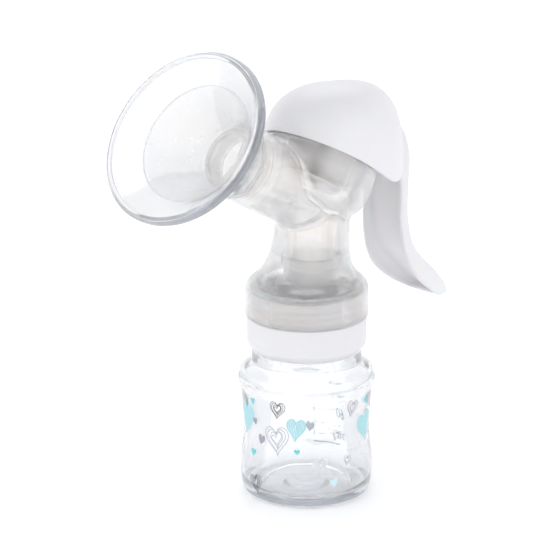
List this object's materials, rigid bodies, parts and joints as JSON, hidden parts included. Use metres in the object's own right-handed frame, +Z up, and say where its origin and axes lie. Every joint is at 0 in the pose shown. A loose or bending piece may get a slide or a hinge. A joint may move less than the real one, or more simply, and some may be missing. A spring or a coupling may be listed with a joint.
{
  "type": "manual breast pump",
  "caption": "Manual breast pump: clear bottle, white ring, translucent pump body with breast shield and silicone insert, white hood and squeeze lever.",
  "frame": {"origin": "middle of the bottle's base, on the bottle's axis, at the surface it stands on", "axes": "+Z up along the bottle; the breast shield faces -X; the lever hangs on the +X side; Y = 0 is the mirror plane"},
  "size_m": [0.2095, 0.0854, 0.2284],
  "materials": {
    "bottle_clear": "clear, glossy moulded plastic",
    "body_translucent": "translucent, faintly blue grey moulded plastic",
    "white_plastic": "opaque white, satin",
    "silicone": "milky, matt silicone"
  },
  "bodies": {
    "bottle": {"bottle": "bottle_clear"},
    "turning_bottle_seal": {"bottle_seal": "silicone"},
    "ring": {"adapter_ring": "white_plastic"},
    "turning_head_seal": {"head_seal": "silicone"},
    "head": {"pump_body": "body_translucent", "shield_seal": "silicone"},
    "valve": {"duckbill_valve": "silicone"},
    "cover": {"hood": "white_plastic", "diaphragm": "silicone"},
    "handle": {"lever": "white_plastic", "pivot_pin": "white_plastic"},
    "pull_rod": {"stem": "white_plastic", "stem_disc": "white_plastic"},
    "shield": {"breast_shield": "body_translucent"},
    "insert": {"massage_insert": "silicone"}
  },
  "joints": [
    {"name": "ring_turn", "type": "hinge", "parent": "bottle", "child": "turning_bottle_seal", "pos_m": [0, 0, 0.08], "axis": [0, 0, 1], "range_deg": [0, 360]},
    {"name": "ring_rise", "type": "slide", "parent": "turning_bottle_seal", "child": "ring", "axis": [0, 0, 1], "range_m": [0, 0.006]},
    {"name": "head_turn", "type": "hinge", "parent": "ring", "child": "turning_head_seal", "pos_m": [0, 0, 0.1], "axis": [0, 0, 1], "range_deg": [0, 360]},
    {"name": "head_rise", "type": "slide", "parent": "turning_head_seal", "child": "head", "axis": [0, 0, 1], "range_m": [0, 0.006]},
    {"name": "valve_pull", "type": "slide", "parent": "head", "child": "valve", "axis": [0, 0, -1], "range_m": [0, 0.012]},
    {"name": "hood_lift", "type": "slide", "parent": "head", "child": "cover", "axis": [0.515, 0, 0.8572], "range_m": [0, 0.02]},
    {"name": "lever_squeeze", "type": "hinge", "parent": "cover", "child": "handle", "pos_m": [0.04631, 0, 0.17286], "axis": [0, 1, 0], "range_deg": [0, 20], "stiffness_Nm_per_rad": 0.6},
    {"name": "stem_pull", "type": "slide", "parent": "cover", "child": "pull_rod", "axis": [0.515, 0, 0.8572], "range_m": [0, 0.0103], "deforming": ["diaphragm"]},
    {"name": "shield_pull", "type": "slide", "parent": "head", "child": "shield", "axis": [-0.8854, 0, 0.4648], "range_m": [0, 0.012]},
    {"name": "insert_pull", "type": "slide", "parent": "shield", "child": "insert", "axis": [-0.8854, 0, 0.4648], "range_m": [0, 0.03]}
  ],
  "couplings": [
    {"joint": "ring_rise", "follows": "ring_turn", "m_per_rad": 0.00095493},
    {"joint": "head_rise", "follows": "head_turn", "m_per_rad": 0.00095493},
    {"joint": "stem_pull", "follows": "lever_squeeze", "m_per_rad": 0.02935}
  ]
}
